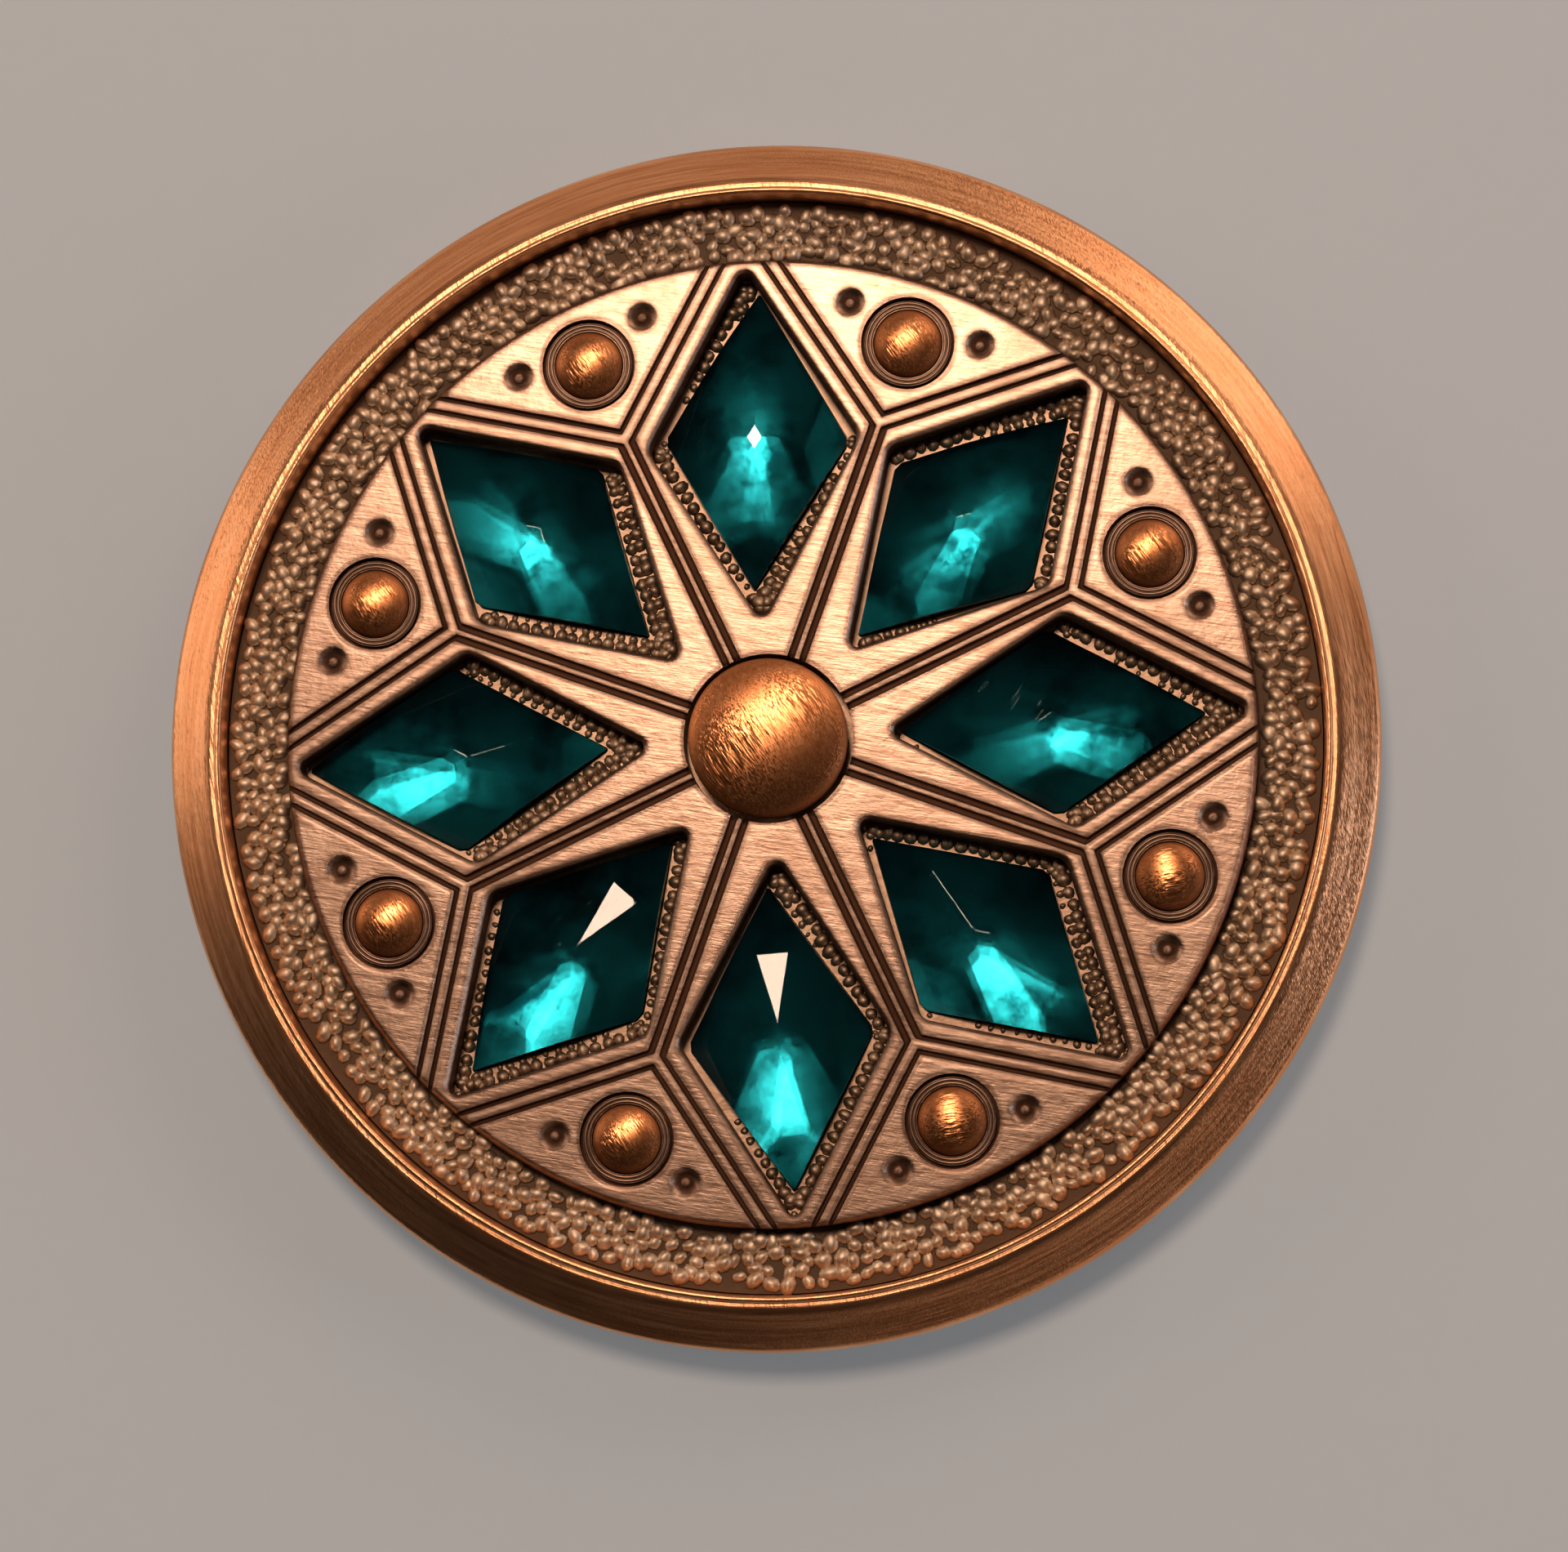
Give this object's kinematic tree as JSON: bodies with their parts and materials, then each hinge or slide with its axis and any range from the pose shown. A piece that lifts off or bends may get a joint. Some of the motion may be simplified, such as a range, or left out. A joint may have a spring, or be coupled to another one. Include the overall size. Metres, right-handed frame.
{
  "type": "round concho",
  "caption": "Round metal concho: a copper ring round a granulated channel and a star plate, with lozenge glass stones in its points, small studs and a centre dome.",
  "frame": {"origin": "under the middle of the concho, on the plane that the ring's foot stands on", "axes": "+Z through the thickness towards the face, +Y towards the star point with stone_1, +X to the right of it seen from the face"},
  "size_m": [0.04, 0.04, 0.0049],
  "materials": {
    "ring_copper": "brushed copper, darker in the low places and worn bright on the edges",
    "dark_bronze": "antiqued dark bronze, bright only on the tops of its grains",
    "pale_bronze": "satin pale bronze with fine straight brushing and dark grooves",
    "dome_copper": "polished and hand-rubbed copper",
    "teal_glass": "faceted deep teal glass over a mirror foil"
  },
  "bodies": {
    "root": {"outer_ring": "ring_copper", "base_plate": "dark_bronze", "star_plate": "pale_bronze", "centre_dome": "dome_copper", "screw_boss": "dark_bronze", "stone_1": "teal_glass", "stone_2": "teal_glass", "stone_3": "teal_glass", "stone_4": "teal_glass", "stone_5": "teal_glass", "stone_6": "teal_glass", "stone_7": "teal_glass", "stone_8": "teal_glass", "stud_1": "dome_copper", "stud_2": "dome_copper", "stud_3": "dome_copper", "stud_4": "dome_copper", "stud_5": "dome_copper", "stud_6": "dome_copper", "stud_7": "dome_copper", "stud_8": "dome_copper"}
  },
  "joints": []
}
